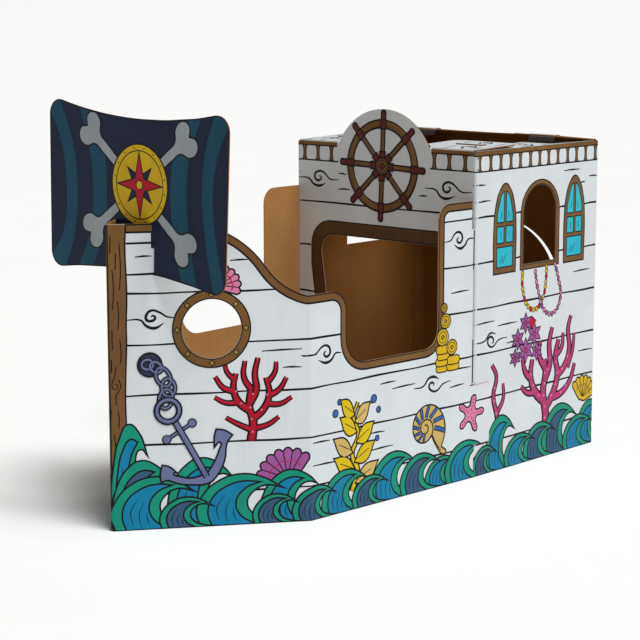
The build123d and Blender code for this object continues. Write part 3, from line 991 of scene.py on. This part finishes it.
for x in lancet["places"]:
    casing = pointedArch(x, lancet["half"], lancet["foot"], lancet["spring"], lancet["tip"])
    inked(sideArt, "brown", casing, 1, (0, 8))
    for side in (-1, 1):
        near, far = x + side * 6, x + side * 44
        inked(sideArt, "pane", [
            (near, 852), (near, 956), (x + side * 18, 948), (x + side * 32, 916), (far, 876), (far, 852),
        ], 3, (0, 1, 4, 5), 4)
        inked(sideArt, "pane", [(near, 782), (near, 838), (far, 838), (far, 782)], 3, "all", 4)
        stroke(sideArt, [(x + side * 20, 866), (x + side * 20, 890)], 5, 2.6)
        stroke(sideArt, [(x + side * 22, 796), (x + side * 22, 820)], 5, 2.6)
    inked(sideArt, "pane", [(x - 44, 700), (x - 44, 768), (x + 44, 768), (x + 44, 700)], 3, "all", 4)
    stroke(sideArt, [(x - 26, 716), (x - 10, 738)], 5, 2.8)
    stroke(sideArt, [(x - 12, 714), (x + 8, 742)], 5, 2.8)


# The window's outline, let out all round
def archLoop(out):
    return archOf(window["place"], window["half"] + out, window["sill"] - out, window["spring"], 12)


for ink, out, hole, level in (("black", window["trim"] + 2, 0.4, 1), ("brown", window["trim"] - 2.6, 4.2, 2)):
    patch(sideArt, ink, [archLoop(out), archLoop(hole)], level, "all")

balustrade = {
    "foot": 1030, "railFoot": 1081, "railTop": 1099.5,
    "sides": (15.8, 75.6, 130.7, 186, 239, 296, 349, 401, 455, 512.5, 566, 621, 680.5),
}


def baluster(art, x, foot, top, level):
    tall = top - foot
    left = [(-11, 0), (-7.5, 0.14), (-5.6, 0.4), (-6.2, 0.72), (-9.5, 0.92), (-11.5, 1)]
    points = [(x + p[0], foot + p[1] * tall) for p in left]
    points += [(x - p[0], foot + p[1] * tall) for p in left[::-1]]
    inked(art, "brown", points, level, (0, 5, 6, 11), 4)


def railBar(art, a, b, foot, top, level):
    patch(art, "brown", [(a, foot), (b, foot), (b, top), (a, top)], level, "all")
    stroke(art, [(a, foot), (b, foot)], level + 1, 4.2)
    stroke(art, [(a, top - 1.6), (b, top - 1.6)], level + 1, 3.2)


for x in balustrade["sides"]:
    baluster(sideArt, x, balustrade["foot"], balustrade["railFoot"], 0)
railBar(sideArt, -3, length + 3, balustrade["railFoot"], balustrade["railTop"], 2)
stroke(sideArt, [(-3, 1029), (length + 3, 1029)], 2, 5)
lapReach = 84


# The hull's lap covers this corner of the castle
def clearOfLap(u, z):
    return z > floorGap and (u > lapReach or not onLap(z))


def printCastle(art, name):
    bothSides(
        art, name, onCastleSide, sideCuts + [lapReach], sideLevels + (floorGap, *lapHeights), clearOfLap,
    )


printCastle(sideArt, "castle_side")

castleSea = newArt()
for each in (
    (0, 120, 98, "waveSlate", 1), (70, 150, 190, "waveBlue", 0), (176, 160, 108, "waveBlue", 2),
    (286, 170, 128, "waveSlate", 1), (396, 190, 176, "waveSlate", 0), (520, 170, 118, "waveBlue", 1),
    (600, 150, 162, "waveBlue", 0),
):
    wave(castleSea, *each)
printCastle(castleSea, "castle_waves")
print("castle sides printed")

# Beads, coral and shell on the castle sides
gardenArt = newArt()


def beadString(art, inks, line, size, level):
    path = curveOf([line], False, ())
    path.dimensions = "3D"
    path.resolution_u = 24
    track = meshOf(path)
    points = [Vector(v.co.xy) for v in track.vertices]
    bpy.data.meshes.remove(track)
    gone, k, last = 0.0, 0, points[0]
    for point in points:
        gone += (point - last).length
        last = point
        if gone >= size * 1.06:
            gone = 0.0
            wide, tall = (size * 0.42, size * 0.56) if k % 3 else (size * 0.5, size * 0.5)
            inked(art, inks[k % len(inks)], ringOf(point, wide, 6, tall), level, line=3)
            k += 1


beadString(
    gardenArt, ("gold", "gold", "red"),
    [(262, 684), (262, 620), (296, 548), (340, 534), (380, 566), (398, 630), (400, 684)], 16, 1,
)
beadString(
    gardenArt, ("pink", "mauve"),
    [(330, 684), (352, 600), (396, 520), (446, 508), (486, 560), (470, 630), (448, 684)], 16, 3,
)
inked(gardenArt, "red", [(318, 512), (342, 494), (320, 466), (298, 494)], 5, "all", 4)
pinkCoral = (
    ([(400, 60), (410, 150), (392, 230), (404, 300), (396, 350)], 1.25),
    ([(402, 170), (452, 220), (476, 290), (462, 350), (480, 410)], 1.05),
    ([(400, 200), (346, 240), (318, 300), (326, 360)], 1.05),
    ([(398, 270), (430, 330), (424, 400), (440, 458)], 0.95),
    ([(474, 280), (520, 310), (546, 370), (536, 440), (552, 486)], 0.85),
    ([(440, 206), (500, 214), (552, 250), (580, 310)], 0.85), ([(322, 290), (286, 320), (268, 372)], 0.8),
    ([(400, 320), (366, 366), (372, 420)], 0.8), ([(536, 300), (566, 360), (574, 420)], 0.6),
    ([(344, 240), (300, 244), (262, 272)], 0.7), ([(460, 350), (500, 380), (506, 430)], 0.7),
    ([(116, 90), (130, 180), (106, 262), (122, 330), (96, 372)], 0.7),
    ([(128, 200), (162, 246), (160, 300)], 0.55),
)
growth(gardenArt, "rose", pinkCoral, 1, 35)
dots(gardenArt, "pink", [
    (404, 140), (404, 180), (398, 220), (402, 262), (402, 300), (440, 214), (464, 250), (474, 290),
    (466, 330), (368, 226), (334, 266), (322, 306), (418, 310), (428, 350), (500, 216), (530, 236),
    (506, 300), (536, 340), (124, 160), (124, 200), (112, 244), (114, 290),
], 4.4, 3)


# Sea blossom: pointed petals round a small heart
def blossom(art, at, size, inks, level):
    for k in range(6):
        a = 2 * pi * k / 6
        tip = (at[0] + size * sin(a), at[1] + size * cos(a))
        sides = [(at[0] + size * 0.5 * sin(a + s), at[1] + size * 0.5 * cos(a + s)) for s in (0.5, -0.5)]
        inked(art, inks[0], [at, sides[0], tip, sides[1]], level, (0, 2), 3.6)
    disc(art, inks[1], at, size * 0.2, level + 2, 3)


for at, size in (
    ((286, 396), 45), ((334, 448), 42), ((240, 440), 38), ((284, 492), 36), ((350, 386), 34),
    ((226, 378), 32),
):
    blossom(gardenArt, at, size, ("mauve", "rose"), 5)
fanShell(gardenArt, (630, 172), 84, 0.3, ("gold", "brass"), 1)
printCastle(gardenArt, "castle_motifs")
print("castle motifs printed")

# Castle front: planks, doorway trim, wheel
frontArt = newArt()
for a, b, z in (
    (-390, -60, 884), (60, 390, 884), (-392, -338, 727), (338, 392, 727), (-392, -320, 560), (320, 392, 560),
    (-392, -262, 417), (262, 392, 417), (-392, -242, 263), (242, 392, 263), (-392, 392, 100),
):
    plank(frontArt, a, b, z, z)
for a, b, z, tilt in ((-206, -168, 990, -3), (-208, -152, 934, 2), (160, 196, 935, 2)):
    dash(frontArt, a, b, z, tilt)
grain(
    frontArt,
    [
        (-206, 967), (-246, 967), (-275, 989), (-300, 992), (-319, 978), (-312, 962), (-294, 961),
        (-288, 972), (-298, 976),
    ],
    [(-397, 965), (-347, 964), (-323, 945), (-294, 941), (-268, 951)],
)
grain(
    frontArt,
    [
        (386, 962), (341, 961), (305, 985), (281, 989), (263, 974), (270, 958), (287, 958), (294, 970),
        (284, 974),
    ],
    [(184, 964), (232, 960), (254, 939), (278, 934), (314, 944)],
)
doorOuter = rounded(
    [(-100, 822), (-336, 822), (-336, 660), (-250, 76), (250, 76), (336, 660), (336, 822), (-100, 822)],
    [92, 60, 60, 60, 60, 92],
)
doorInner = rounded(
    [(-100, 772.5), (-296.5, 772.5), (-200.5, 119.5), (200.5, 119.5), (296.5, 772.5), (-100, 772.5)],
    [58, 58, 58, 58],
)
patch(frontArt, "black", [doorOuter[:-1], doorInner[:-1]], 1, "all")
patch(frontArt, "darkBrown", [beside(doorOuter, -4.2)[:-1], beside(doorInner, 4.2)[:-1]], 2, "all")
for a in (-366, -303, -239, 225, 289, 356):
    baluster(frontArt, a, 1031, 1083, 0)
for side in (-1, 1):
    near, far = side * 212, side * 392.5
    railBar(frontArt, min(near, far), max(near, far), 1083, 1103.5, 2)
    stroke(frontArt, [(side * 206, 1030), (far, 1030)], 2, 5)
    rope(frontArt, "brown", [(side * 212, 1093), (side * 216, 1093)], 1, 17)
wheel = {"centre": (-5, 1026), "rim": 144.5, "band": 27, "spokes": 8, "lean": 2}
hub = wheel["centre"]


def spokePoint(radius, turn, aside=0.0):
    return hub[0] + radius * sin(turn) + aside * cos(turn), hub[1] + radius * cos(turn) - aside * sin(turn)


rope(frontArt, "brown", ringOf(hub, wheel["rim"], 24), 3, wheel["band"], closed=True)
handle = [(-12, 128), (-12.5, 145), (-11, 160), (-9.5, 172), (-10.5, 182), (-7, 189), (0, 191.5)]
handle += [(-p[0], p[1]) for p in handle[-2::-1]]
spokeFoot = ((-12, 26), (-13, 50), (13, 50), (12, 26))
for i in range(wheel["spokes"]):
    turn = radians(45 * i + wheel["lean"])
    rope(frontArt, "brown", [spokePoint(20, turn), spokePoint(150, turn)], 5, 17)
    inked(frontArt, "maroon", [spokePoint(r, turn, aside) for aside, r in handle], 7, (0, 12))
    stroke(frontArt, [spokePoint(160, turn, -10), spokePoint(160, turn, 10)], 9, 3.4)
    inked(frontArt, "maroon", [spokePoint(r, turn, aside) for aside, r in spokeFoot], 7, "all")
disc(frontArt, "brown", hub, 29, 9, count=14)
disc(frontArt, "brown", hub, 21, 11, 3.4, 12)
inked(frontArt, "maroon", ringOf(hub, 14, 4), 13, "all", 3.4)
dress(frontArt, "front_wall", onFront, (), frontLevels)
frontArt["mesh"].free()
print("front wall printed")

# Roof flaps: grain on the printed tops of the side flaps and of the arms over them
roof = {
    "armDepth": 250, "frontRise": 2, "sternRise": 6, "middle": (60, 6),
    "curl": [(0, 0), (26, 4), (48, 26), (74, 44), (98, 34), (102, 10), (84, 0), (72, 14), (82, 22)],
    "dip": [(128, 10), (108, -8), (88, -26), (62, -34), (34, -24)],
}
roofArt = newArt()


def onRoof(x, y, lift):
    if x < frontX + roof["armDepth"]:
        return x, y, ship["height"] + (x - frontX) * tan(radians(roof["frontRise"])) + lift
    if x > sternX - roof["armDepth"]:
        return x, y, ship["height"] + (sternX - x) * tan(radians(roof["sternRise"])) + lift
    return x, y, ship["sideTop"] + lift


for x, y, size in (
    (342, -310, 0.7), (473, -280, 0.62), (604, -332, 1.05), (774, -320, 0.62), (908, -310, 0.72),
):
    curl, dip = [
        [(x + size * (p[0] - roof["middle"][0]), y + size * (p[1] - roof["middle"][1])) for p in roof[part]]
        for part in ("curl", "dip")
    ]
    grain(roofArt, curl, dip, 11)
for a, b, y, tilt in (
    (296, 350, -374, 4), (430, 505, -362, 4), (536, 600, -386, 3), (660, 720, -382, 5), (640, 716, -284, 4),
    (750, 806, -370, 4), (874, 950, -374, 3), (880, 930, -250, 4), (440, 500, -210, 3), (300, 370, -246, 3),
):
    dash(roofArt, a, b, y, tilt, 9)
bothSides(roofArt, "roof_grain", onRoof)

# Stern wall and its door leaf
sternArt = newArt()


# Half the width of the door's arch at a height
def archReach(half, z):
    return half if z < sternDoor["spring"] else sqrt(max(0, half ** 2 - (z - sternDoor["spring"]) ** 2))


for i, z in enumerate(plankHeights):
    if z < 780:
        reach = archReach(sternDoor["half"] + sternDoor["trim"] + 3, z)
        plank(sternArt, -392, -reach, z, i)
        plank(sternArt, reach, 392, z, i + 2)
    else:
        plank(sternArt, -392, 392, z, i)
for k in range(13):
    baluster(sternArt, -366 + 61 * k, 1031, 1083, 0)
railBar(sternArt, -392.5, 392.5, 1083, 1103.5, 2)
stroke(sternArt, [(-392.5, 1030), (392.5, 1030)], 2, 5)
grain(
    sternArt, [(-160, 940), (-200, 940), (-228, 962), (-254, 965), (-272, 950), (-264, 935), (-248, 935)],
    [(-350, 938), (-300, 937), (-276, 918), (-248, 914), (-224, 924)],
)
grain(
    sternArt, [(160, 990), (196, 988), (222, 966), (246, 962), (266, 976), (260, 992), (244, 992)],
    [(350, 986), (304, 988), (280, 1006), (252, 1010)],
)


# The door's outline, let out all round
def sternArch(out):
    return archOf(0, sternDoor["half"] + out, sternDoor["foot"] - out, sternDoor["spring"], 10)


patch(sternArt, "black", [sternArch(sternDoor["trim"]), sternArch(1)], 1, "all")
patch(sternArt, "brown", [sternArch(sternDoor["trim"] - 4.6), sternArch(5)], 2, "all")
dress(sternArt, "stern_wall", onStern, (), frontLevels)
sternArt["mesh"].free()
sternSea = newArt()
for each in (
    (-392, 150, 150, "waveBlue", 0), (-300, 150, 96, "waveSlate", 1), (262, 130, 116, "waveSlate", 0),
):
    wave(sternSea, *each)


def besideDoor(a, z):
    return z > floorGap and 278 < abs(a) < 392


dress(sternSea, "stern_waves", onStern, (-392, -278, 278, 392), (floorGap,), keep=besideDoor)
sternSea["mesh"].free()
leafArt = newArt()


def onLeaf(a, z, lift):
    out = sternX - (sternDoor["half"] - a) * ajar
    turn = radians(sternDoor["ajar"])
    return out + lift * cos(turn), a - lift * sin(turn), z


for i, z in enumerate(plankHeights):
    reach = archReach(sternDoor["half"] - 6, z)
    if reach > 60:
        plank(leafArt, -reach, reach, z, i)
for a in (-125, 0, 125):
    stroke(leafArt, [(a, 52), (a + 2, 300), (a, 600 if a else 776)], 0, 3.6)
disc(leafArt, "gold", (-196, 420), 19, 1)
disc(leafArt, "brass", (-196, 420), 9, 3, 3)
dress(leafArt, "leaf_print", onLeaf)
leafArt["mesh"].free()
print("stern printed")

# Flag
flagArt = newArt()
for ends, stripe in (
    ((0, 4, 7, 11), [
        (-370, 1250), (-330, 1176), (-303, 1041), (-324, 880), (-379, 806), (-366, 783), (-338, 772),
        (-316, 773), (-268, 880), (-252, 1044), (-272, 1170), (-326, 1288), (-347, 1283), (-361, 1270),
    ]),
    ((0, 4, 5, 9), [
        (-233, 1265), (-196, 1160), (-179, 1049), (-196, 900), (-249, 784), (-183, 789), (-132, 900),
        (-115, 1053), (-130, 1160), (-164, 1254),
    ]),
    ((0, 4, 5, 9), [
        (239, 1245), (190, 1160), (168, 1071), (176, 900), (205, 775.5), (272, 766), (244, 900),
        (236, 1075), (256, 1160), (297, 1251),
    ]),
    ((0, 4, 7, 11), [
        (352, 1259), (314, 1160), (298, 1041), (312, 890), (339, 757), (356, 752), (371, 757), (383, 782),
        (358, 880), (343, 1044), (366, 1150), (407, 1232), (395, 1251), (378, 1262),
    ]),
):
    patch(flagArt, "teal", stripe, 1, ends)


def boneEnd(centre, angle, size):
    pts = [
        (-0.42, -1.7), (-0.5, -0.8), (-1.25, -0.15), (-1.3, 0.75), (-0.6, 1.15), (0, 0.7), (0.6, 1.15),
        (1.3, 0.75), (1.25, -0.15), (0.5, -0.8), (0.42, -1.7),
    ]
    return [
        (
            centre[0] + size * (p[0] * cos(angle) - p[1] * sin(angle)),
            centre[1] + size * (p[0] * sin(angle) + p[1] * cos(angle)),
        )
        for p in pts
    ]


for i, (a, b) in enumerate((((-188, 1205), (227, 868)), ((237, 1191), (-183, 895)))):
    angle = atan2(b[1] - a[1], b[0] - a[0])
    a, b = [(p[0] + 14 * k * cos(angle), p[1] + 14 * k * sin(angle)) for p, k in ((a, 1), (b, -1))]
    bone = boneEnd(a, angle + pi / 2, 41) + boneEnd(b, angle - pi / 2, 41)
    inked(flagArt, "bone", bone, 2 + 2 * i, (5, 16))
emblem = {"centre": (32, 1047), "radius": 122, "ring": 102, "beads": 111}
disc(flagArt, "gold", emblem["centre"], emblem["radius"], 6, count=24)
stroke(flagArt, ringOf(emblem["centre"], emblem["ring"], 24), 8, 3.4, closed=True)


def starOf(centre, long, short, count, turn=0.0):
    made = []
    for i in range(2 * count):
        reach = short if i % 2 else long
        made.append((
            centre[0] + reach * sin(pi * i / count + turn), centre[1] + reach * cos(pi * i / count + turn),
        ))
    return made


for i in range(16):
    turn = pi * (i + 0.5) / 8
    x, z = emblem["centre"]
    dots(flagArt, "black", [(x + emblem["beads"] * sin(turn), z + emblem["beads"] * cos(turn))], 2.6, 8)
inked(flagArt, "navy", starOf(emblem["centre"], 74, 26, 4, pi / 4), 8, "all", 3.4)
inked(flagArt, "red", starOf(emblem["centre"], 97, 27, 4), 10, "all", 3.8)
disc(flagArt, "gold", emblem["centre"], 14, 12, 3.4)
flagSheet = {
    "lean": radians(1.9), "shift": 76.2, "slot": 82.2, "seat": 862, "topHalf": 395, "footHalf": 387,
    "topRise": (379, 424), "footDrop": (78, 114), "round": 48,
}


def flagPoint(p, q):
    p += flagSheet["shift"]
    y = -flagSheet["slot"] + p * cos(flagSheet["lean"]) - q * sin(flagSheet["lean"])
    return -y, flagSheet["seat"] + p * sin(flagSheet["lean"]) + q * cos(flagSheet["lean"])


# The flag's edge, drawn in by an inset, with its hollow top and foot
def hem(inset):
    topHalf, footHalf = flagSheet["topHalf"], flagSheet["footHalf"]
    (topRise, cornerRise), (footDrop, cornerDrop) = flagSheet["topRise"], flagSheet["footDrop"]
    top = [(topHalf * k / 3, topRise + (cornerRise - topRise) * k * k / 9 - inset) for k in (0, 1, 2)]
    top.append((topHalf - inset, cornerRise - inset))
    foot = [(footHalf - inset, inset - cornerDrop)]
    foot += [(footHalf * k / 3, inset - footDrop - (cornerDrop - footDrop) * k * k / 9) for k in (2, 1, 0)]
    corner = flagSheet["round"] - inset
    half = rounded(top + foot, [0, 0, corner, corner, 0, 0])
    return [flagPoint(*p) for p in half] + [flagPoint(-p, q) for p, q in half[::-1]]


patch(flagArt, "black", [hem(0.4), hem(4.4)], 2, "all")
dress(flagArt, "flag_print", onFlag)
flagArt["mesh"].free()
print("flag printed")

# Floor and light
def groundTone():
    made, tree, shader = newFinish("paleFloor")
    cloud = streaks(tree, (1.5, 1.5, 1.5), 3)
    tree.links.new(blendTones(tree, cloud, tone("#f9f9f9"), tone("#f5f5f5")), shader.inputs["Base Color"])
    shader.inputs["Roughness"].default_value = 0.9
    shader.inputs["Specular IOR Level"].default_value = 0.1
    return made


ground = bmesh.new()
bmesh.ops.create_circle(ground, cap_ends=True, radius=4000, segments=64)
groundMesh = bpy.data.meshes.new("floor")
ground.to_mesh(groundMesh)
ground.free()
groundMesh.materials.append(groundTone())
floor = bpy.data.objects.new("floor", groundMesh)
floor.location.z = -0.0005
bpy.context.scene.collection.objects.link(floor)

studio = {"world": 0.18, "sun": 3.25, "sunFrom": (-0.02, -0.5, 0.866), "sunSize": 35}
world = bpy.data.worlds.new("studio")
world.use_nodes = True
world.node_tree.nodes["Background"].inputs[0].default_value = (1, 0.93, 0.84, 1)
world.node_tree.nodes["Background"].inputs[1].default_value = studio["world"]
bpy.context.scene.world = world
sunData = bpy.data.lights.new("key", "SUN")
sunData.energy = studio["sun"]
sunData.color = (0.985, 1, 1)
sunData.angle = radians(studio["sunSize"])
sun = bpy.data.objects.new("key", sunData)
sun.rotation_euler = Vector(studio["sunFrom"]).to_track_quat("Z", "Y").to_euler()
bpy.context.scene.collection.objects.link(sun)
